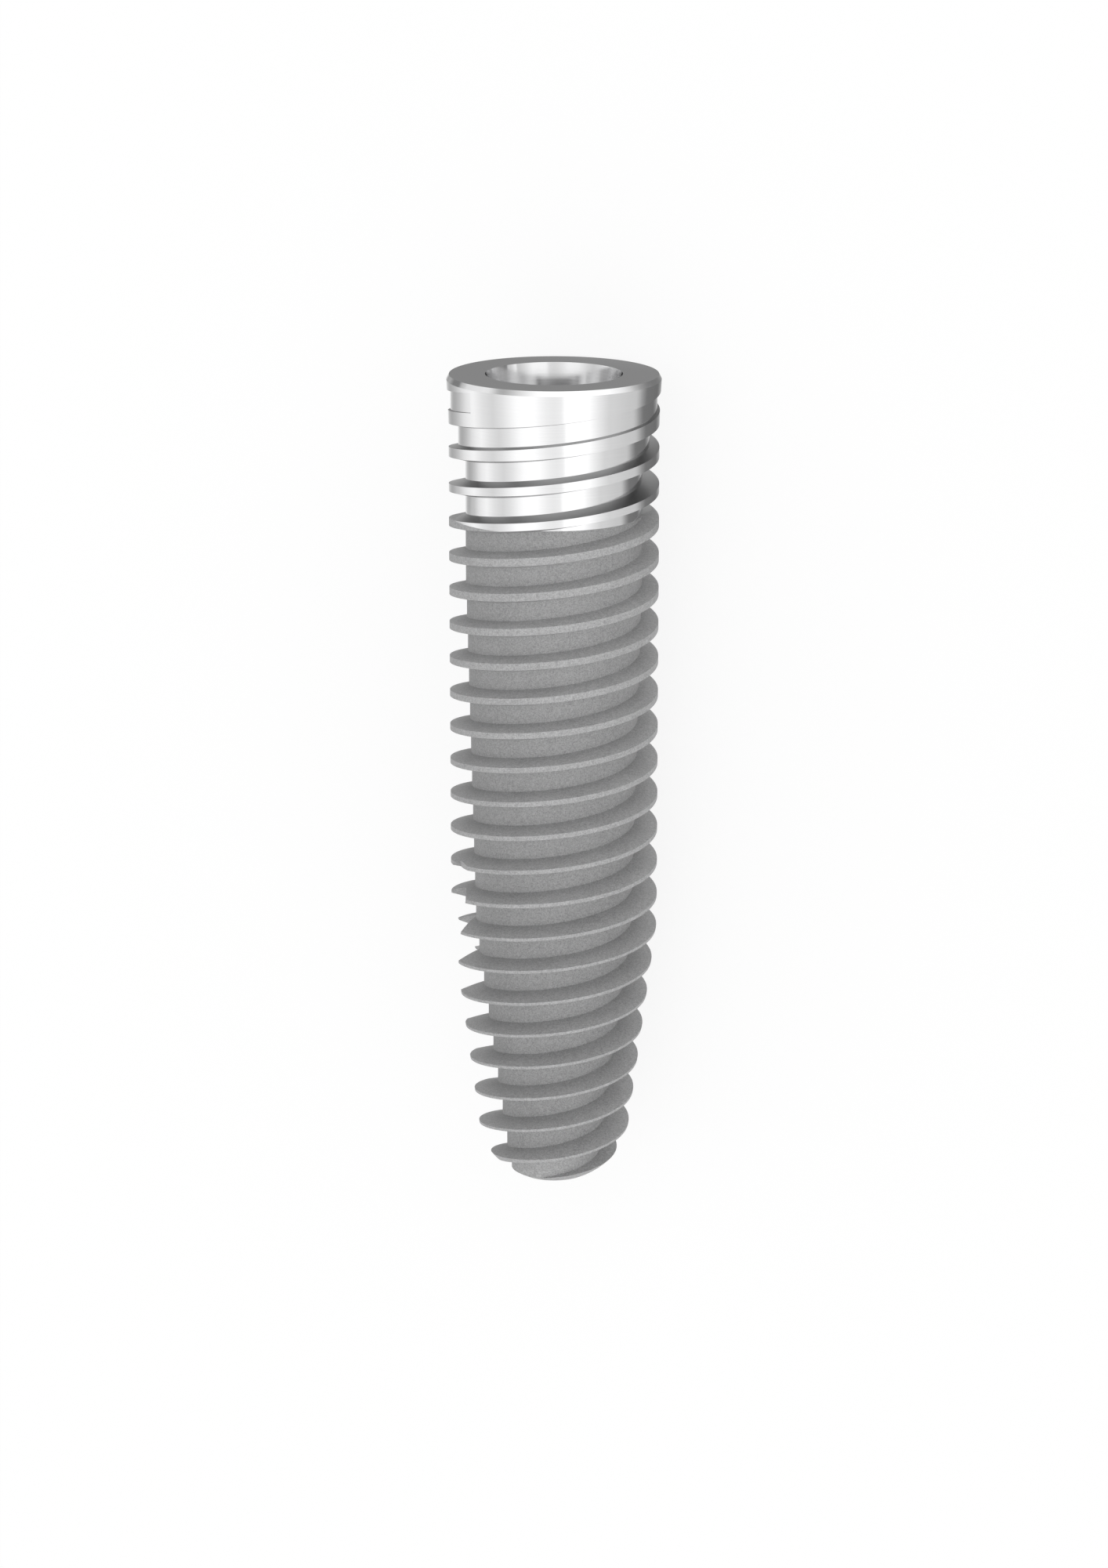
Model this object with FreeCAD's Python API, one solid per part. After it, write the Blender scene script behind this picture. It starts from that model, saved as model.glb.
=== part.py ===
"""Dental implant: a turned titanium fixture with a two-start self-tapping thread.

The implant is one solid, as the real one is. Its outside is built first: the collar, and the
two thread grooves that one tool of constant shape leaves in the turned blank. Then the apex is
rounded, one cutting flute is milled, and the connection for the abutment is bored into the
platform. This is done with the long axis on Z and the platform face at z = 0. At the end the
implant is laid on its side: the axis runs along Y with the platform towards +Y, the underside
of the collar is at z = 0, and the origin is on the surface it lies on, halfway along.
"""
import FreeCAD, Part
import math
import os
from FreeCAD import Rotation, Vector

# Driving dimensions in mm and degrees. A depth is measured from the platform towards the apex.
implant_length = 16.0
collar_diameter = 4.10
platform_chamfer_width = 0.050
platform_chamfer_depth = 0.096

# Thread: crest and tool
crest_diameter = 4.026
thread_starts = 2
thread_lead = 1.3473
tool_floor_width = 0.358
tool_flank_angle = 14.5
tool_entry_depth = 0.3514
tool_entry_angle = 219.5

# Thread: the core that the tool leaves, from the neck to the tip
neck_start_depth = 0.128
neck_half_angle = 12.05
core_diameter = 3.386
core_straight_depth = 3.874
core_half_angle = 1.404
tip_taper_depth = 10.85
tip_crest_half_angle = 7.35
tip_core_half_angle = 7.56

# Rounded apex
apex_radius = 1.62
apex_flat_diameter = 1.40

# Cutting flute: the cutting face's distance from the axis, its direction and its twist per mm
flute_start_depth = 8.96
flute_turn_depth = 10.79
flute_start_distance = 2.035
flute_turn_distance = 1.530
flute_end_distance = 0.500
flute_face_angle = 255.9
flute_twist = 21.4
flute_corner_offset = 0.05
flute_opening_angle = 96.0

# Internal connection: conical seat, hexagonal index and screw channel
seat_mouth_diameter = 2.626
seat_half_angle = 8.0
seat_depth = 1.90
index_sides = 6
index_across_flats = 1.75
index_depth = 3.10
channel_lead_in_diameter = 1.60
channel_diameter = 1.25
channel_depth = 7.20
drill_point_angle = 118.0

# How it lies: turned about its own axis to where it comes to rest
rest_roll = 24.0

# Working values
overcut = 0.10
points_per_turn = 36
edge_trials = 8
flute_reach = 2.2
flute_step = 0.30
flute_stretch = 1.8

axis = Vector(0, 0, 1)
axis_point = Vector(0, 0, 0)
collar_radius = collar_diameter / 2
crest_radius = crest_diameter / 2
core_radius = core_diameter / 2
sector = 360 / thread_starts
sector_points = points_per_turn // thread_starts


def slope(degrees):
    return math.tan(math.radians(degrees))


def polar(radius, degrees, z):
    """Point at a radius and angle about the implant's axis."""
    angle = math.radians(degrees)
    return Vector(radius * math.cos(angle), radius * math.sin(angle), z)


neck_end_depth = neck_start_depth + (collar_radius - core_radius) / slope(neck_half_angle)


def root_radius(depth):
    """Radius of the groove's floor: neck cone, straight core, long taper, then the tip's taper."""
    if depth < neck_end_depth:
        return collar_radius - (depth - neck_start_depth) * slope(neck_half_angle)
    long_taper = max(0.0, min(depth, tip_taper_depth) - core_straight_depth)
    tip_taper = max(0.0, depth - tip_taper_depth)
    return core_radius - long_taper * slope(core_half_angle) - tip_taper * slope(tip_core_half_angle)


def tool_depth(turned):
    """Depth of the tool's middle after the thread has turned by some degrees round the axis."""
    return tool_entry_depth + thread_lead * turned / 360


# The collar's side leans in until the next start's groove comes in below it.
first_land_end = tool_depth(sector)
crest_start_depth = (first_land_end - tool_floor_width / 2
                     - (crest_radius - root_radius(first_land_end)) * slope(tool_flank_angle))


def blank_radius(depth):
    """Radius of the blank that the thread is cut into, before its apex is rounded."""
    if depth < crest_start_depth:
        share = (depth - platform_chamfer_depth) / (crest_start_depth - platform_chamfer_depth)
        return collar_radius + share * (crest_radius - collar_radius)
    return crest_radius - max(0.0, depth - tip_taper_depth) * slope(tip_crest_half_angle)


def groove_outline(turned):
    """Four corners of a groove at one angle: upper edge, floor from top to bottom, lower edge."""
    middle = tool_depth(turned)
    floor_radius = root_radius(middle)
    angle = tool_entry_angle - turned
    walls = []
    for side in (-1, 1):
        floor_depth = middle + side * tool_floor_width / 2
        edge_depth = floor_depth
        for _ in range(edge_trials):
            rise = blank_radius(edge_depth) - floor_radius
            edge_depth = floor_depth + side * rise * slope(tool_flank_angle)
        walls.append([polar(blank_radius(edge_depth), angle, -edge_depth),
                      polar(floor_radius, angle, -floor_depth)])
    upper, lower = walls
    return [upper[0], upper[1], lower[1], lower[0]]


def smooth_edge(points):
    """One smooth edge through points."""
    curve = Part.BSplineCurve()
    curve.interpolate(points)
    return curve.toShape()


def sector_arc(radius, depth):
    """One sector's arc at one depth, in the direction that the thread descends."""
    ends = [polar(radius, tool_entry_angle - sector * share, -depth) for share in (0, 0.5, 1)]
    return Part.Arc(*ends).toShape()


def closed_face(points):
    return Part.Face(Part.makePolygon(points + points[:1]))


def joined(faces):
    """Closed solid from faces that meet along their edges."""
    shell = Part.makeShell(faces)
    shell.sewShape()
    solid = Part.makeSolid(Part.Shell(shell.Faces))
    if solid.Volume < 0:
        solid.reverse()
    return solid


def sector_skin():
    """One start's sector of the threaded blank: its faces, and its top and bottom edges.

    Each half turn of the groove is modelled, turned back to the sector where the groove enters,
    and joined to the next by the land between them. The groove is open at both its ends, where
    the tool goes in and where it has left the blank, and a flat face closes each end.
    """
    end_depth = implant_length + thread_lead
    threaded_depth = implant_length + tool_floor_width - tool_entry_depth
    passes = math.floor(threaded_depth * thread_starts / thread_lead) + 1
    rails = [sector_arc(collar_radius - platform_chamfer_width, 0),
             sector_arc(collar_radius, platform_chamfer_depth)]
    for count in range(passes):
        turn_back = Rotation(axis, sector * count)
        outlines = []
        for step in range(sector_points + 1):
            outline = groove_outline(sector * (count + step / sector_points))
            outlines.append([turn_back.multVec(corner) for corner in outline])
        rails += [smooth_edge(list(corners)) for corners in zip(*outlines)]
        if count == 0:
            entry = closed_face(outlines[0])
    leaving = closed_face(outlines[-1])
    rails.append(sector_arc(blank_radius(end_depth), end_depth))
    faces = [Part.makeRuledSurface(upper, lower) for upper, lower in zip(rails, rails[1:])]
    return faces + [entry, leaving], rails[0], rails[-1]


def threaded_blank():
    """The blank with every start's groove, and its end left long and square beyond the apex."""
    faces, top, bottom = sector_skin()
    skin = []
    top_edges = []
    bottom_edges = []
    for start in range(thread_starts):
        for shapes, kept in ((faces, skin), ([top], top_edges), ([bottom], bottom_edges)):
            for shape in shapes:
                turned_shape = shape.copy()
                turned_shape.rotate(axis_point, axis, sector * start)
                kept.append(turned_shape)
    for edges in (top_edges, bottom_edges):
        skin.append(Part.Face(Part.Wire(Part.__sortEdges__(edges))))
    return joined(skin)


def apex_envelope():
    """Everything that the rounded apex keeps: a dome with a flat end, and all above it."""
    flat_radius = apex_flat_diameter / 2
    centre = implant_length - math.sqrt(apex_radius ** 2 - flat_radius ** 2)
    half_way = math.asin(flat_radius / apex_radius) / 2 + math.pi / 4
    outer = Vector(apex_radius, 0, -centre)
    middle = Vector(apex_radius * math.sin(half_way), 0, -centre - apex_radius * math.cos(half_way))
    edge = Vector(flat_radius, 0, -implant_length)
    wide = collar_radius + overcut
    corners = [edge, Vector(0, 0, -implant_length), Vector(0, 0, overcut), Vector(wide, 0, overcut),
               Vector(wide, 0, -tip_taper_depth), outer]
    edges = [Part.Arc(outer, middle, edge).toShape()]
    edges += [Part.LineSegment(a, b).toShape() for a, b in zip(corners, corners[1:])]
    return Part.Face(Part.Wire(edges)).revolve(axis_point, axis, 360)


def evenly(first, last, longest):
    """Values from first to last in equal steps that are no longer than the longest."""
    steps = math.ceil((last - first) / longest)
    return [first + (last - first) * step / steps for step in range(steps + 1)]


def flute_distance(depth):
    """Distance of the cutting face from the axis: a steep run-in, then slower to the apex."""
    if depth < flute_turn_depth:
        share = (depth - flute_start_depth) / (flute_turn_depth - flute_start_depth)
        return flute_start_distance + share * (flute_turn_distance - flute_start_distance)
    share = (depth - flute_turn_depth) / (implant_length - flute_turn_depth)
    return flute_turn_distance + share * (flute_end_distance - flute_turn_distance)


def flute_outline(depth):
    """The flute's section: cutting face and relief face that meet at the inner corner."""
    angle = flute_face_angle - flute_twist * (depth - flute_turn_depth)
    along_cutting = polar(flute_reach, angle, 0)
    along_relief = polar(flute_reach, angle - flute_opening_angle, 0)
    corner = polar(flute_distance(depth), angle - 90, -depth) + polar(flute_corner_offset, angle, 0)
    return [corner, corner + along_cutting, corner + along_cutting + along_relief,
            corner + along_relief]


def cutting_flute():
    """The milled flute, from where it enters the crests to below the apex."""
    stations = evenly(flute_start_depth, flute_turn_depth, flute_stretch)
    stations += evenly(flute_turn_depth, implant_length + overcut, flute_stretch)[1:]
    faces = [closed_face(flute_outline(stations[0])), closed_face(flute_outline(stations[-1]))]
    for upper, lower in zip(stations, stations[1:]):
        outlines = [flute_outline(depth) for depth in evenly(upper, lower, flute_step)]
        rails = [smooth_edge(list(corners)) for corners in zip(*outlines)]
        faces += [Part.makeRuledSurface(a, b) for a, b in zip(rails, rails[1:] + rails[:1])]
    return joined(faces)


def connection_cavity():
    """The bored cavity: conical seat, hexagonal index, lead-in and blind screw channel."""
    mouth_radius = seat_mouth_diameter / 2
    seat_end_radius = mouth_radius - seat_depth * slope(seat_half_angle)
    lead_in_radius = channel_lead_in_diameter / 2
    channel_radius = channel_diameter / 2
    lead_in_end = index_depth + lead_in_radius - channel_radius
    point_depth = channel_radius / slope(drill_point_angle / 2)
    profile = closed_face([Vector(0, 0, overcut),
                           Vector(mouth_radius + overcut * slope(seat_half_angle), 0, overcut),
                           Vector(seat_end_radius, 0, -seat_depth),
                           Vector(lead_in_radius, 0, -seat_depth),
                           Vector(lead_in_radius, 0, -index_depth),
                           Vector(channel_radius, 0, -lead_in_end),
                           Vector(channel_radius, 0, -channel_depth),
                           Vector(0, 0, -channel_depth - point_depth)])
    cavity = profile.revolve(axis_point, axis, 360)
    corner_radius = index_across_flats / 2 / math.cos(math.pi / index_sides)
    index = closed_face([polar(corner_radius, 360 * side / index_sides, -index_depth)
                         for side in range(index_sides)])
    return cavity.fuse(index.extrude(Vector(0, 0, index_depth - seat_depth)))


def implant_body():
    """The whole implant, upright, with its platform face at z = 0."""
    body = threaded_blank().common(apex_envelope())
    body = body.cut(cutting_flute())
    return body.cut(connection_cavity())


def laid_down(shape):
    """The implant on its side: platform towards +Y, collar on the surface, origin midway."""
    on_its_side = Rotation(Vector(1, 0, 0), -90)
    rolled = Rotation(Vector(0, 1, 0), rest_roll)
    resting = shape.copy()
    resting.Placement = FreeCAD.Placement(Vector(0, implant_length / 2, collar_radius),
                                          rolled.multiply(on_its_side))
    return resting


os.makedirs("parts", exist_ok=True)
body = laid_down(implant_body())
print("solids", len(body.Solids), "valid", body.isValid(), "volume mm3", round(body.Volume, 3))
body.Solids[0].exportStep("parts/implant_body.step")
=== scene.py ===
"""Dental implant with a polished collar and a blasted thread, lying on a pale floor.

The surface of the implant is built upright in millimetres, platform at z = 0 and apex below,
and laid down at the end: axis along Y, platform towards +Y, as the frame has it.
"""
import math
import bmesh
import bpy
from mathutils import Matrix, Vector


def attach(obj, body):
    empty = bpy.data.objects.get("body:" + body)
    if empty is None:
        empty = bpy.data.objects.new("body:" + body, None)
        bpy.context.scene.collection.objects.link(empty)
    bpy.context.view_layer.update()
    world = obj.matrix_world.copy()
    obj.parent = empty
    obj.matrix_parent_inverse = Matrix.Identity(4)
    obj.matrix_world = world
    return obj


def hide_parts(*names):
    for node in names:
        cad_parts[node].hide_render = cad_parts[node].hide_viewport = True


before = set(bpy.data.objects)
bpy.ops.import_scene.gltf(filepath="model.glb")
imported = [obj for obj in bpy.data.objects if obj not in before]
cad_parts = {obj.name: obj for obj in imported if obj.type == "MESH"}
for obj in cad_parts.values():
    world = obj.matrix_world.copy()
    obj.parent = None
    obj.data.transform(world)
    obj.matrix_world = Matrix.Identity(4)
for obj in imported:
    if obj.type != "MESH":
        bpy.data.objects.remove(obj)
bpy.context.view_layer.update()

MM = 0.001

# The implant, in mm and degrees; a depth is measured from the platform
LENGTH = 16.0
COLLAR_RADIUS = 2.05
REST_ROLL = 24.0
CHAMFER_WIDTH = 0.050
CHAMFER_DEPTH = 0.096
CREST_RADIUS = 2.013
LEAD = 1.3473
GROOVE_FLOOR = 0.358
FLANK_ANGLE = 14.5
ENTRY_DEPTH = 0.3514
ENTRY_ANGLE = 219.5
NECK_START = 0.128
NECK_ANGLE = 12.05
CORE_RADIUS = 1.693
CORE_STRAIGHT_DEPTH = 3.874
CORE_ANGLE = 1.404
TIP_DEPTH = 10.85
TIP_CREST_ANGLE = 7.35
TIP_CORE_ANGLE = 7.56
APEX_RADIUS = 1.62
APEX_FLAT_RADIUS = 0.70
FINISH_DEPTH = 2.71

# The two starts of the thread, and how finely the surface is made
STARTS = 2
SECTOR = 360 / STARTS
COLUMNS = 72
PASSES = 24
ROUND_STEPS = 144
APEX_STEPS = 16
EDGE_TRIALS = 8

# How far a cutter passes an open end, a small allowance, and how near two points count as one
# or an edge as nothing, all in mm
OVERCUT = 0.1
MARGIN = 0.01
MERGE_WITHIN = 1e-5
COLLAPSE_WITHIN = 1e-6


def slope(degrees):
    return math.tan(math.radians(degrees))


def polar(radius, degrees, height):
    angle = math.radians(degrees)
    return Vector((radius * math.cos(angle), radius * math.sin(angle), height))


NECK_END = NECK_START + (COLLAR_RADIUS - CORE_RADIUS) / slope(NECK_ANGLE)


def root_radius(depth):
    """Radius of the groove's floor."""
    if depth < NECK_END:
        return COLLAR_RADIUS - (depth - NECK_START) * slope(NECK_ANGLE)
    long_taper = max(0.0, min(depth, TIP_DEPTH) - CORE_STRAIGHT_DEPTH)
    tip_taper = max(0.0, depth - TIP_DEPTH)
    return CORE_RADIUS - long_taper * slope(CORE_ANGLE) - tip_taper * slope(TIP_CORE_ANGLE)


def tool_depth(turned):
    return ENTRY_DEPTH + LEAD * turned / 360


FIRST_LAND_END = tool_depth(SECTOR)
CREST_START = (FIRST_LAND_END - GROOVE_FLOOR / 2
               - (CREST_RADIUS - root_radius(FIRST_LAND_END)) * slope(FLANK_ANGLE))


def blank_radius(depth):
    """Radius of the turned blank at a depth."""
    if depth < CREST_START:
        share = (depth - CHAMFER_DEPTH) / (CREST_START - CHAMFER_DEPTH)
        return COLLAR_RADIUS + share * (CREST_RADIUS - COLLAR_RADIUS)
    return CREST_RADIUS - max(0.0, depth - TIP_DEPTH) * slope(TIP_CREST_ANGLE)


def groove_corners(turned):
    """(radius, depth) of a groove's upper edge, its floor's two corners and its lower edge."""
    middle = tool_depth(turned)
    floor_radius = root_radius(middle)
    walls = []
    for side in (-1, 1):
        floor_depth = middle + side * GROOVE_FLOOR / 2
        edge_depth = floor_depth
        for _ in range(EDGE_TRIALS):
            rise = blank_radius(edge_depth) - floor_radius
            edge_depth = floor_depth + side * rise * slope(FLANK_ANGLE)
        walls.append([(blank_radius(edge_depth), edge_depth), (floor_radius, floor_depth)])
    upper, lower = walls
    return [upper[0], upper[1], lower[1], lower[0]]


def blend(first, last, share):
    return first + (last - first) * share


def thread_column(share):
    """Points down one column of a start's sector, from the platform's edge to below the apex."""
    angle = ENTRY_ANGLE - SECTOR * share
    entry_top = groove_corners(0)[0][1]
    entry_bottom = groove_corners(0)[3][1]
    exit_top = groove_corners(SECTOR * PASSES)[0][1]
    exit_bottom = groove_corners(SECTOR * PASSES)[3][1]
    points = [(COLLAR_RADIUS - CHAMFER_WIDTH, 0.0), (COLLAR_RADIUS, CHAMFER_DEPTH)]
    for depth in (entry_top, blend(entry_top, entry_bottom, share)):
        points.append((blank_radius(depth), depth))
    for count in range(PASSES):
        points += groove_corners(SECTOR * (count + share))
    for depth in (blend(exit_top, exit_bottom, share), exit_bottom, LENGTH + LEAD):
        points.append((blank_radius(depth), depth))
    return [polar(radius, angle, -depth) for radius, depth in points]


def shaped_grid(columns):
    """A grid mesh whose vertices are moved to the given columns of points."""
    rows = len(columns[0])
    mesh = bmesh.new()
    bmesh.ops.create_grid(mesh, x_segments=len(columns) - 1, y_segments=rows - 1, size=1)
    for vert in mesh.verts:
        column = round((vert.co.x + 1) / 2 * (len(columns) - 1))
        row = round((vert.co.y + 1) / 2 * (rows - 1))
        vert.co = columns[column][row]
    return mesh


def closed(mesh):
    """Doubles merged, holes filled and faces turned outwards."""
    bmesh.ops.remove_doubles(mesh, verts=mesh.verts, dist=MERGE_WITHIN)
    bmesh.ops.dissolve_degenerate(mesh, edges=mesh.edges, dist=COLLAPSE_WITHIN)
    bmesh.ops.holes_fill(mesh, edges=mesh.edges, sides=0)
    bmesh.ops.recalc_face_normals(mesh, faces=mesh.faces)
    return mesh


def as_object(name, mesh):
    data = bpy.data.meshes.new(name)
    mesh.to_mesh(data)
    mesh.free()
    piece = bpy.data.objects.new(name, data)
    bpy.context.scene.collection.objects.link(piece)
    return piece


def threaded_blank():
    """The blank with both starts' grooves, still long and square below the apex."""
    columns = [thread_column(step / COLUMNS) for step in range(COLUMNS + 1)]
    mesh = shaped_grid(columns)
    bmesh.ops.duplicate(mesh, geom=mesh.verts[:] + mesh.edges[:] + mesh.faces[:])
    half = len(mesh.verts) // 2
    mesh.verts.ensure_lookup_table()
    bmesh.ops.rotate(mesh, verts=mesh.verts[half:], cent=(0, 0, 0),
                     matrix=Matrix.Rotation(math.radians(SECTOR), 3, "Z"))
    return as_object("implant_surface", closed(mesh))


def turned_solid(name, profile):
    """A solid turned about Z from (radius, depth) points that start and end on the axis."""
    mesh = bmesh.new()
    verts = [mesh.verts.new((radius, 0, -depth)) for radius, depth in profile]
    edges = [mesh.edges.new(pair) for pair in zip(verts, verts[1:])]
    bmesh.ops.spin(mesh, geom=verts + edges, cent=(0, 0, 0), axis=(0, 0, 1), dvec=(0, 0, 0),
                   angle=2 * math.pi, steps=ROUND_STEPS, use_merge=True)
    return as_object(name, closed(mesh))


def apex_envelope():
    """Everything that the rounded apex keeps."""
    centre = LENGTH - math.sqrt(APEX_RADIUS ** 2 - APEX_FLAT_RADIUS ** 2)
    last = math.asin(APEX_FLAT_RADIUS / APEX_RADIUS)
    arc = []
    for step in range(APEX_STEPS + 1):
        angle = blend(math.pi / 2, last, step / APEX_STEPS)
        arc.append((APEX_RADIUS * math.sin(angle), centre + APEX_RADIUS * math.cos(angle)))
    wide = COLLAR_RADIUS + OVERCUT
    sides = [(0, -OVERCUT), (wide, -OVERCUT), (wide, TIP_DEPTH)]
    return turned_solid("apex_envelope", sides + arc + [(0, LENGTH)])


# Cutting flute, in mm and degrees
FLUTE_START = 8.96
FLUTE_TURN = 10.79
FLUTE_DISTANCES = (2.035, 1.530, 0.500)
FLUTE_ANGLE = 255.9
FLUTE_TWIST = 21.4
FLUTE_OFFSET = 0.05
FLUTE_OPENING = 96.0
FLUTE_REACH = 2.2
FLUTE_STATIONS = 60
FLUTE_ARM_STEPS = 10


def flute_section(depth):
    """Closed outline of the flute's cutter at a depth."""
    angle = FLUTE_ANGLE - FLUTE_TWIST * (depth - FLUTE_TURN)
    if depth < FLUTE_TURN:
        share = (depth - FLUTE_START) / (FLUTE_TURN - FLUTE_START)
        distance = blend(FLUTE_DISTANCES[0], FLUTE_DISTANCES[1], share)
    else:
        share = (depth - FLUTE_TURN) / (LENGTH - FLUTE_TURN)
        distance = blend(FLUTE_DISTANCES[1], FLUTE_DISTANCES[2], share)
    cutting = polar(FLUTE_REACH, angle, 0)
    relief = polar(FLUTE_REACH, angle - FLUTE_OPENING, 0)
    corner = polar(distance, angle - 90, -depth) + polar(FLUTE_OFFSET, angle, 0)
    corners = [corner, corner + cutting, corner + cutting + relief, corner + relief]
    outline = []
    for start, end in zip(corners, corners[1:] + corners[:1]):
        outline += [start.lerp(end, step / FLUTE_ARM_STEPS) for step in range(FLUTE_ARM_STEPS)]
    return outline + [corner]


def flute_cutter():
    depths = [blend(FLUTE_START, LENGTH + OVERCUT, step / FLUTE_STATIONS)
              for step in range(FLUTE_STATIONS + 1)]
    mesh = shaped_grid([flute_section(depth) for depth in depths])
    return as_object("flute_cutter", closed(mesh))


# Connection for the abutment, in mm and degrees
SEAT_RADIUS = 1.313
SEAT_ANGLE = 8.0
SEAT_DEPTH = 1.90
HEXAGON_FLATS = 1.75
HEXAGON_DEPTH = 3.10
LEAD_IN_RADIUS = 0.80
CHANNEL_RADIUS = 0.625
CHANNEL_DEPTH = 7.20
POINT_DEPTH = 7.5756
LEAD_IN_END = HEXAGON_DEPTH + LEAD_IN_RADIUS - CHANNEL_RADIUS

# Thread in the screw channel, M1.6 x 0.35, in mm; the tap's core is just clear of the wall
TAP_PITCH = 0.35
TAP_TURNS = 9
TAP_COLUMNS = 48
TAP_CORE_RADIUS = 0.60
TAP_CREST_RADIUS = 0.80
TAP_RIDGE_BASE = 0.29
TAP_RIDGE_TOP = 0.06


def bored_cavity():
    """Conical seat, lead-in and screw channel with its drill point."""
    seat_top = SEAT_RADIUS + OVERCUT * slope(SEAT_ANGLE)
    seat_end = SEAT_RADIUS - SEAT_DEPTH * slope(SEAT_ANGLE)
    return turned_solid("bored_cavity", [
        (0, -OVERCUT), (seat_top, -OVERCUT), (seat_end, SEAT_DEPTH),
        (LEAD_IN_RADIUS, SEAT_DEPTH), (LEAD_IN_RADIUS, HEXAGON_DEPTH),
        (CHANNEL_RADIUS, LEAD_IN_END), (CHANNEL_RADIUS, CHANNEL_DEPTH), (0, POINT_DEPTH)])


def channel_tap():
    """What a tap cuts from the channel's wall, as one start that winds down to the last turn."""
    first_ridge = LEAD_IN_END + TAP_PITCH
    columns = []
    for step in range(TAP_COLUMNS + 1):
        share = step / TAP_COLUMNS
        points = [(TAP_CORE_RADIUS, first_ridge - TAP_PITCH / 2)]
        for count in range(TAP_TURNS):
            middle = first_ridge + TAP_PITCH * (count + share)
            points += [(TAP_CORE_RADIUS, middle - TAP_RIDGE_BASE / 2),
                       (TAP_CREST_RADIUS, middle - TAP_RIDGE_TOP / 2),
                       (TAP_CREST_RADIUS, middle + TAP_RIDGE_TOP / 2),
                       (TAP_CORE_RADIUS, middle + TAP_RIDGE_BASE / 2)]
        points.append((TAP_CORE_RADIUS, first_ridge + TAP_PITCH * (TAP_TURNS + 0.5)))
        columns.append([polar(radius, -360 * share, -depth) for radius, depth in points])
    return as_object("channel_tap", closed(shaped_grid(columns)))


def hexagon_cutter():
    mesh = bmesh.new()
    corner_radius = HEXAGON_FLATS / 2 / math.cos(math.pi / 6)
    bmesh.ops.create_circle(mesh, cap_ends=True, radius=corner_radius, segments=6)
    bmesh.ops.translate(mesh, verts=mesh.verts, vec=(0, 0, -HEXAGON_DEPTH))
    extruded = bmesh.ops.extrude_face_region(mesh, geom=mesh.faces[:])
    raised = [item for item in extruded["geom"] if isinstance(item, bmesh.types.BMVert)]
    bmesh.ops.translate(mesh, verts=raised, vec=(0, 0, HEXAGON_DEPTH - SEAT_DEPTH + MARGIN))
    return as_object("hexagon_cutter", closed(mesh))


def carve(piece, cutter, operation):
    """The piece with an exact boolean applied, and the cutter removed."""
    modifier = piece.modifiers.new(cutter.name, "BOOLEAN")
    modifier.operation = operation
    modifier.solver = "EXACT"
    modifier.object = cutter
    bpy.context.view_layer.update()
    graph = bpy.context.evaluated_depsgraph_get()
    result = bpy.data.meshes.new_from_object(piece.evaluated_get(graph))
    piece.modifiers.clear()
    piece.data = result
    bpy.data.objects.remove(cutter)


def implant_surface():
    piece = threaded_blank()
    carve(piece, apex_envelope(), "INTERSECT")
    carve(piece, flute_cutter(), "DIFFERENCE")
    carve(piece, bored_cavity(), "DIFFERENCE")
    carve(piece, hexagon_cutter(), "DIFFERENCE")
    carve(piece, channel_tap(), "DIFFERENCE")
    return piece


def about_axis(degrees):
    """Turn about the lying implant's own axis."""
    to_axis = Matrix.Translation((0, 0, COLLAR_RADIUS * MM))
    return to_axis @ Matrix.Rotation(math.radians(degrees), 4, "Y") @ to_axis.inverted()


def laid_down():
    """Upright millimetres to the place in the frame, in metres."""
    on_its_side = Matrix.Rotation(math.radians(-90), 4, "X")
    place = Matrix.Translation((0, LENGTH / 2 * MM, COLLAR_RADIUS * MM))
    return about_axis(REST_ROLL) @ place @ on_its_side @ Matrix.Scale(MM, 4)


# Finishes by slot, and what sorts the faces: the depth in mm down to which a face is still the
# platform's, how far a flank's normal follows the axis, and the angle in degrees from which an
# edge stays sharp
# The FLANK slot carries painted shade: a darker tone on the polished neck's flanks, for the dark
# that they mirror.
POLISHED, FLANK, SEAT, CHANNEL, BLASTED = range(5)
PLATFORM_SKIN = 0.001
FLANK_NORMAL = 0.85
SHARP_ANGLE = 20


def finished(piece, materials):
    """Split at the edge of the blasted zone, given a finish for each kind of face, with painted
    shade on the polished flanks, laid down.
    """
    piece.data.materials.clear()
    for material in materials:
        piece.data.materials.append(material)
    mesh = bmesh.new()
    mesh.from_mesh(piece.data)
    bmesh.ops.bisect_plane(mesh, geom=mesh.verts[:] + mesh.edges[:] + mesh.faces[:],
                           dist=COLLAPSE_WITHIN, plane_co=(0, 0, -FINISH_DEPTH),
                           plane_no=(0, 0, 1))
    for face in mesh.faces:
        centre = face.calc_center_median()
        depth = -centre.z
        inside = (centre.xy.length < SEAT_RADIUS + MARGIN
                  and PLATFORM_SKIN < depth < POINT_DEPTH + MARGIN)
        # Faces of the polished neck that face along the axis take the darker FLANK tone, which is
        # painted shade.
        flank = abs(face.normal.z) > FLANK_NORMAL and depth > 2 * CHAMFER_DEPTH
        if inside:
            face.material_index = CHANNEL if depth > SEAT_DEPTH - PLATFORM_SKIN else SEAT
        elif depth > FINISH_DEPTH:
            face.material_index = BLASTED
        else:
            face.material_index = FLANK if flank else POLISHED
        face.smooth = True
    mesh.transform(laid_down())
    mesh.to_mesh(piece.data)
    mesh.free()
    piece.data.set_sharp_from_angle(angle=math.radians(SHARP_ANGLE))


# Sockets of a Mix node that is set to colours
MIX_FIRST, MIX_SECOND, MIX_RESULT = 6, 7, 2


def grey(tone):
    return (tone, tone, tone, 1)


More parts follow.
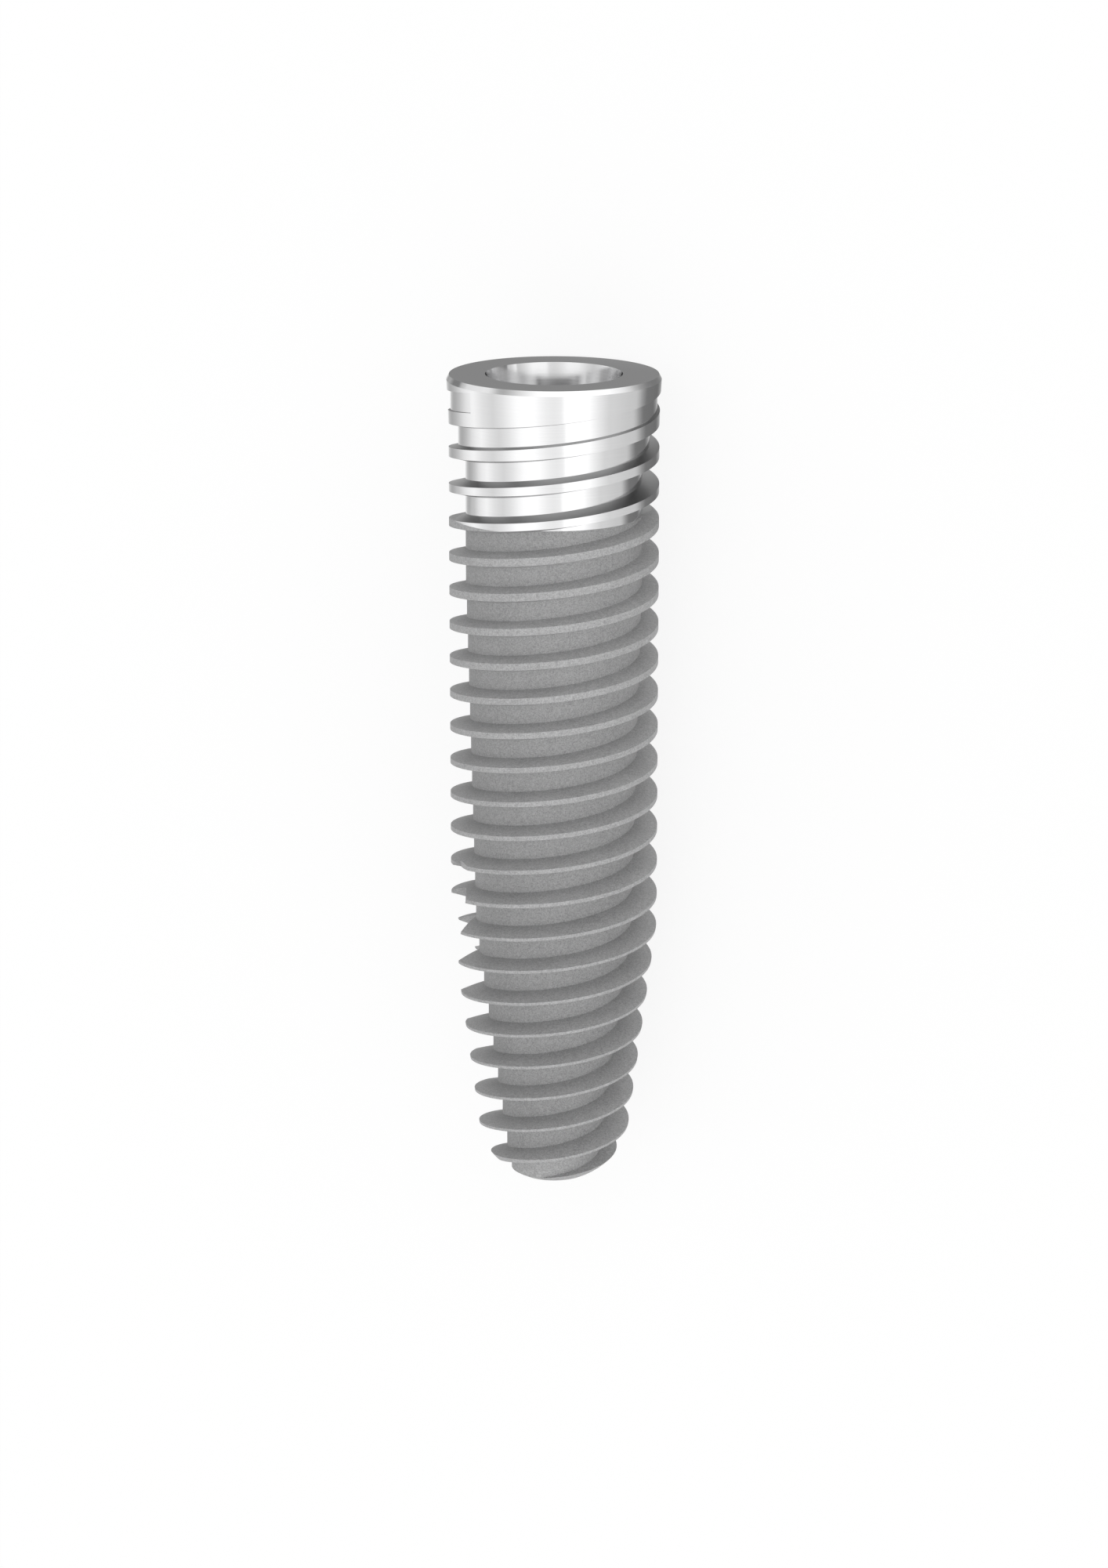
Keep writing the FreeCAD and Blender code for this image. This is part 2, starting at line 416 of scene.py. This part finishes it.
class Shading:
    """Short ways to add nodes to one tree and to link them."""

    def __init__(self, tree):
        self.tree = tree

    def add(self, kind, **settings):
        node = self.tree.nodes.new(kind)
        for name, value in settings.items():
            setattr(node, name, value)
        return node

    def feed(self, node, socket, source):
        if isinstance(source, bpy.types.NodeSocket):
            self.tree.links.new(source, node.inputs[socket])
        else:
            node.inputs[socket].default_value = source

    def math(self, operation, *values):
        node = self.add("ShaderNodeMath", operation=operation)
        for index, value in enumerate(values):
            self.feed(node, index, value)
        return node.outputs[0]

    def scaled(self, value, low, high):
        """A value from 0 to 1 spread over low to high."""
        node = self.add("ShaderNodeMapRange")
        self.feed(node, "Value", value)
        self.feed(node, "To Min", low)
        self.feed(node, "To Max", high)
        return node.outputs["Result"]

    def noise(self, vector, scale, detail):
        node = self.add("ShaderNodeTexNoise")
        self.feed(node, "Vector", vector)
        self.feed(node, "Scale", scale)
        self.feed(node, "Detail", detail)
        return node.outputs["Fac"]

    def mixed(self, share, first, second, **settings):
        """The first colour where share is 0, the second where it is 1."""
        node = self.add("ShaderNodeMix", data_type="RGBA", **settings)
        self.feed(node, "Factor", share)
        self.feed(node, MIX_FIRST, first)
        self.feed(node, MIX_SECOND, second)
        return node.outputs[MIX_RESULT]

    def levels(self, place, steps):
        """Grey level at a place from 0 to 1, from steps of (place, level)."""
        node = self.add("ShaderNodeValToRGB")
        self.feed(node, "Fac", place)
        stops = node.color_ramp.elements
        while len(stops) > 1:
            stops.remove(stops[0])
        for index, (position, level) in enumerate(steps):
            stop = stops[0] if index == 0 else stops.new(position)
            stop.position = position
            stop.color = grey(level)
        return node.outputs["Color"]

    def between(self, value, start, end):
        """0 up to start, 1 from end on, and an even rise from one to the other."""
        node = self.add("ShaderNodeMapRange")
        self.feed(node, "Value", value)
        self.feed(node, "From Min", start)
        self.feed(node, "From Max", end)
        return node.outputs["Result"]


def new_group(name, inputs, outputs):
    """An empty shader node group with float inputs and outputs, and its two end nodes."""
    tree = bpy.data.node_groups.new(name, "ShaderNodeTree")
    for direction, sockets in (("INPUT", inputs), ("OUTPUT", outputs)):
        for socket in sockets:
            tree.interface.new_socket(name=socket, in_out=direction, socket_type="NodeSocketFloat")
    shading = Shading(tree)
    return shading, shading.add("NodeGroupInput"), shading.add("NodeGroupOutput")


def millimetres(shading):
    """Object coordinates in mm, with the implant's axis at x = z = 0."""
    place = shading.add("ShaderNodeMapping", vector_type="POINT")
    shading.feed(place, "Vector", shading.add("ShaderNodeTexCoord").outputs["Object"])
    place.inputs["Location"].default_value = (0, 0, -COLLAR_RADIUS)
    place.inputs["Scale"].default_value = (1 / MM, 1 / MM, 1 / MM)
    return place.outputs["Vector"]


# Blasted grain: coarse grains by the size of fine ones, share of the fine ones in the height,
# mottle per mm, and how the height is spread over the tones
COARSE_GRAINS = 0.4
FINE_SHARE = 0.75
MOTTLE_SCALE = 1.3
TONE_GAIN = 3.4
TONE_OFFSET = -1.2


def grain_group():
    """Grit-blasted grain: fine pits and a soft mottle."""
    shading, given, result = new_group("grit_grain", ["Grains", "Mottle"],
                                       ["Tone", "Height"])
    place = millimetres(shading)
    pits = shading.noise(place, given.outputs["Grains"], 2.0)
    coarse_scale = shading.math("MULTIPLY", given.outputs["Grains"], COARSE_GRAINS)
    coarse = shading.noise(place, coarse_scale, 1.0)
    mottle = shading.noise(place, MOTTLE_SCALE, 2.0)
    height = shading.math("ADD", shading.math("MULTIPLY", pits, FINE_SHARE),
                          shading.math("MULTIPLY", coarse, 1 - FINE_SHARE))
    drift = shading.math("MULTIPLY", shading.math("SUBTRACT", mottle, 0.5),
                         given.outputs["Mottle"])
    spread = shading.math("MULTIPLY_ADD", height, TONE_GAIN, TONE_OFFSET)
    shading.feed(result, "Tone", shading.math("ADD", spread, drift))
    shading.feed(result, "Height", height)
    return shading.tree


def turning_group():
    """Fine rings that the lathe leaves: they follow the axis on sides and the radius on faces."""
    shading, given, result = new_group("turning_marks", ["Rings"], ["Tone", "Height"])
    split = shading.add("ShaderNodeSeparateXYZ")
    shading.feed(split, 0, millimetres(shading))
    squares = [shading.math("POWER", split.outputs[name], 2.0) for name in ("X", "Z")]
    radius = shading.math("SQRT", shading.math("ADD", *squares))
    rings = shading.add("ShaderNodeCombineXYZ")
    shading.feed(rings, "X", radius)
    shading.feed(rings, "Y", split.outputs["Y"])
    marks = shading.noise(rings.outputs[0], given.outputs["Rings"], 3.0)
    shading.feed(result, "Tone", marks)
    shading.feed(result, "Height", marks)
    return shading.tree


# Titanium is a trace cooler than grey
COOL_TINT = 1.005


def titanium(name, group, settings, tones, roughness, bump, metallic=1.0):
    """Metal whose tone, roughness and bump, as strength and mm, come from a grain group."""
    material = bpy.data.materials.new(name)
    material.use_nodes = True
    shading = Shading(material.node_tree)
    shader = material.node_tree.nodes["Principled BSDF"]
    shader.inputs["Metallic"].default_value = metallic
    grain = shading.add("ShaderNodeGroup", node_tree=group)
    for socket, value in settings.items():
        grain.inputs[socket].default_value = value
    dark, light = [(tone, tone, tone * COOL_TINT, 1) for tone in tones]
    colour = shading.mixed(grain.outputs["Tone"], dark, light, clamp_factor=True)
    shading.feed(shader, "Base Color", colour)
    shading.feed(shader, "Roughness", shading.scaled(grain.outputs["Tone"], *roughness))
    strength, distance = bump
    relief = shading.add("ShaderNodeBump")
    relief.inputs["Strength"].default_value = strength
    relief.inputs["Distance"].default_value = distance * MM
    shading.feed(relief, "Height", grain.outputs["Height"])
    shading.feed(shader, "Normal", relief.outputs["Normal"])
    return material


# Each finish has the settings of its pattern, its tones, its roughness and its bump
marks = turning_group()
finishes = [
    titanium("polished_titanium", marks, {"Rings": 40.0}, (0.78, 0.84), (0.06, 0.14),
             (0.05, 0.002)),
    # Polished flanks: the dark tones are painted shade for the dark the flanks mirror; the higher
    # roughness is their own.
    titanium("flank_titanium_painted_shade", marks, {"Rings": 60.0}, (0.29, 0.35), (0.32, 0.42),
             (0.08, 0.002)),
    titanium("bored_titanium", marks, {"Rings": 30.0}, (0.71, 0.79), (0.09, 0.16),
             (0.08, 0.002)),
    titanium("tapped_titanium", marks, {"Rings": 30.0}, (0.74, 0.82), (0.30, 0.40),
             (0.08, 0.002)),
    titanium("blasted_titanium", grain_group(), {"Grains": 42.0, "Mottle": 0.3},
             (0.30, 0.505), (0.55, 0.70), (0.40, 0.008), 0.35),
]

surface = implant_surface()
finished(surface, finishes)
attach(surface, "root")
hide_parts("implant_body")

# Camera of the photograph, before the implant's roll: its tilt in radians, its place and its
# focal length in mm
CAMERA_ELEVATION = 0.25970967
CAMERA_PLACE = (0.0, 22.256, 86.089)
CAMERA_LENS = 102.54

camera_data = bpy.data.cameras.new("camera")
camera_data.sensor_fit = "VERTICAL"
camera_data.sensor_height = 36
camera_data.lens = CAMERA_LENS
camera_data.clip_start = 0.005
camera_data.clip_end = 10
camera = bpy.data.objects.new("camera", camera_data)
bpy.context.scene.collection.objects.link(camera)
bpy.context.scene.camera = camera
camera.matrix_world = (about_axis(REST_ROLL) @ Matrix.Translation(Vector(CAMERA_PLACE) * MM)
                       @ Matrix.Rotation(-CAMERA_ELEVATION, 4, "X"))

# Studio: brightness of the sky by angle round the implant's axis, 0 being the camera's side
SKY = [(-180, 0.80), (-125, 0.75), (-110, 1.00), (-98, 1.12), (-84, 0.92), (-70, 0.80),
       (-58, 0.93), (-42, 1.22), (-25, 1.30), (-8, 1.05), (0, 1.00), (8, 1.05), (13, 1.35),
       (36, 1.32), (50, 1.00), (62, 0.80), (75, 0.74), (180, 0.70)]

# The same for the high sky beyond the platform, which its chamfer mirrors; it takes over
# between two leans, as the Y of a direction
SKY_BEYOND = [(-180, 0.50), (-137, 0.62), (-110, 0.79), (-102, 0.89), (-89, 0.98), (-82, 0.94),
              (-76, 0.74), (-70, 0.53), (-64, 0.49), (-58, 0.58), (-46, 0.82), (-29, 1.13),
              (-17, 1.30), (60, 1.33), (72, 1.13), (90, 0.76), (180, 0.40)]
BEYOND_START, BEYOND_FULL = 0.30, 0.50

# Dim strip of sky that the ends of the seat's mouth mirror: its brightness by that same lean
STRIP = [(0.135, 1.00), (0.16, 0.27), (0.19, 0.37), (0.25, 0.68), (0.29, 0.83), (0.33, 1.00)]

# Painted reflection: levels that the floor glows with for the metal's mirrored rays only, with
# dark bands beside the implant that are painted shade, by angle from straight below the axis:
# beside the polished collar, beside the blasted thread and beyond the platform. The collar's zone
# and the one beyond take over between two distances along the axis, in mm.
COLLAR_FLOOR = [(-90, 0.95), (-86, 0.81), (-82, 0.64), (-77, 0.52), (-72, 0.46), (-67, 0.55),
                (-62, 0.80), (-50, 0.85), (20, 0.75), (33, 0.70), (38, 0.50), (43, 0.30),
                (48, 0.18), (61, 0.21), (65, 0.36), (69, 0.60), (71, 0.68), (76, 0.70),
                (90, 0.80)]
THREAD_FLOOR = [(-90, 0.95), (-82, 0.64), (-60, 0.65), (-20, 0.70), (30, 0.80), (60, 0.75),
                (76, 0.70), (90, 0.80)]
BEYOND_FLOOR = [(-90, 0.85), (-88, 0.70), (-84, 0.50), (-76, 0.50), (-65, 0.50), (-40, 0.70),
                (56, 0.68), (62, 0.45), (65, 0.42), (69, 0.58), (72, 0.77), (76, 0.94),
                (79, 1.05), (86, 1.20), (90, 1.33)]
COLLAR_ZONE = (3.4, 4.4)
BEYOND_ZONE = (7.7, 8.1)

# Painted reflection patches on the floor before the platform, which only the metal's mirrored rays
# see, three dark ones of painted shade and a pale one: each one's tone, and its strength across
# and along the implant, by distance in mm up to the reach on either side
PAINTED_REFLECTION_PATCHES = [
    (0.265, [(-6.0, 0), (-3.9, 1), (1.6, 1), (2.4, 0)], [(7.6, 0), (8.0, 1), (9.2, 1), (10.0, 0)]),
    (0.22, [(1.6, 0), (2.0, 1), (3.2, 1), (5.2, 0)], [(7.6, 0), (8.0, 1), (9.0, 1), (9.6, 0)]),
    (0.24, [(-28, 0), (-16, 1), (-8.5, 1), (-5.5, 0)], [(7.6, 0), (8.0, 1), (12.5, 1), (16, 0)]),
    (0.95, [(3.0, 0), (3.6, 1), (9.0, 1), (14.0, 0)], [(7.6, 0), (7.9, 1), (8.35, 1), (8.5, 0)]),
]
PATCH_REACH = 30.0

# The floor's half width in m, its paint, and how much of it reads as plain white where it is seen
FLOOR_REACH = 0.4
FLOOR_PAINT = 0.95
FLOOR_GLOW = 0.85


def studio_world():
    world = bpy.data.worlds.new("studio")
    bpy.context.scene.world = world
    world.use_nodes = True
    shading = Shading(world.node_tree)
    turn = shading.add("ShaderNodeVectorRotate", rotation_type="Y_AXIS")
    shading.feed(turn, "Vector", shading.add("ShaderNodeTexCoord").outputs["Generated"])
    turn.inputs["Angle"].default_value = math.radians(-REST_ROLL)
    split = shading.add("ShaderNodeSeparateXYZ")
    shading.feed(split, 0, turn.outputs[0])
    angle = shading.math("ARCTAN2", split.outputs["X"], split.outputs["Z"])
    share = shading.math("MULTIPLY_ADD", angle, 0.5 / math.pi, 0.5)
    beyond = shading.between(split.outputs["Y"], BEYOND_START, BEYOND_FULL)
    near, far = [
        shading.levels(share, [((degrees + 180) / 360, level) for degrees, level in tones])
        for tones in (SKY, SKY_BEYOND)]
    background = world.node_tree.nodes["Background"]
    shading.feed(background, "Color", shading.mixed(beyond, near, far))
    shading.feed(background, "Strength", shading.levels(split.outputs["Y"], STRIP))


def patch_strength(shading, distance, levels):
    """Strength of a patch by a distance in metres, from steps in mm."""
    share = shading.math("MULTIPLY_ADD", distance, 0.5 / (PATCH_REACH * MM), 0.5)
    return shading.levels(share, [(0.5 + place / (2 * PATCH_REACH), level)
                                  for place, level in levels])


def side_tone(shading, share, levels):
    """Tone of the mirrored floor by its angle from straight below, given as a share."""
    return shading.levels(share, [((degrees + 90) / 180, level) for degrees, level in levels])


def floor_material():
    """Pale floor that reads as white where it is seen, keeps a faint shadow, and glows with a
    painted reflection for the metal's mirrored rays.
    """
    material = bpy.data.materials.new("pale_floor")
    material.use_nodes = True
    shading = Shading(material.node_tree)
    material.node_tree.nodes.clear()
    path = shading.add("ShaderNodeLightPath")
    split = shading.add("ShaderNodeSeparateXYZ")
    shading.feed(split, 0, shading.add("ShaderNodeTexCoord").outputs["Object"])
    sideways = shading.math("DIVIDE", split.outputs["X"], COLLAR_RADIUS * MM)
    share = shading.math("MULTIPLY_ADD", shading.math("ARCTANGENT", sideways), 1 / math.pi, 0.5)
    # The painted reflection that only mirrored rays see, beside and beyond the implant.
    mirrored = side_tone(shading, share, THREAD_FLOOR)
    for levels, (start, end) in ((COLLAR_FLOOR, COLLAR_ZONE), (BEYOND_FLOOR, BEYOND_ZONE)):
        change = shading.between(split.outputs["Y"], start * MM, end * MM)
        mirrored = shading.mixed(change, mirrored, side_tone(shading, share, levels))
    # Each patch is painted into the mirrored glow: painted shade for the dark ones, a painted
    # reflection for the pale one.
    for painted_patch_tone, across, along in PAINTED_REFLECTION_PATCHES:
        strength = shading.math("MULTIPLY", patch_strength(shading, split.outputs["X"], across),
                                patch_strength(shading, split.outputs["Y"], along))
        mirrored = shading.mixed(strength, mirrored, grey(painted_patch_tone))
    tone = shading.mixed(path.outputs["Is Camera Ray"], mirrored, grey(1.0))
    glow = shading.add("ShaderNodeEmission")
    shading.feed(glow, "Color", tone)
    mirroring = shading.math("MAXIMUM", path.outputs["Is Glossy Ray"],
                             path.outputs["Is Transmission Ray"])
    mix = shading.add("ShaderNodeMixShader")
    shading.feed(mix, "Fac", shading.math("MULTIPLY_ADD", path.outputs["Is Camera Ray"],
                                          FLOOR_GLOW, mirroring))
    paint = shading.add("ShaderNodeBsdfDiffuse")
    paint.inputs["Color"].default_value = grey(FLOOR_PAINT)
    shading.feed(mix, 1, paint.outputs[0])
    shading.feed(mix, 2, glow.outputs[0])
    shading.feed(shading.add("ShaderNodeOutputMaterial"), "Surface", mix.outputs[0])
    return material


floor_mesh = bmesh.new()
bmesh.ops.create_grid(floor_mesh, x_segments=2, y_segments=2, size=FLOOR_REACH)
floor = as_object("floor", floor_mesh)
floor.data.materials.append(floor_material())
studio_world()

bpy.context.scene.view_settings.view_transform = "Standard"
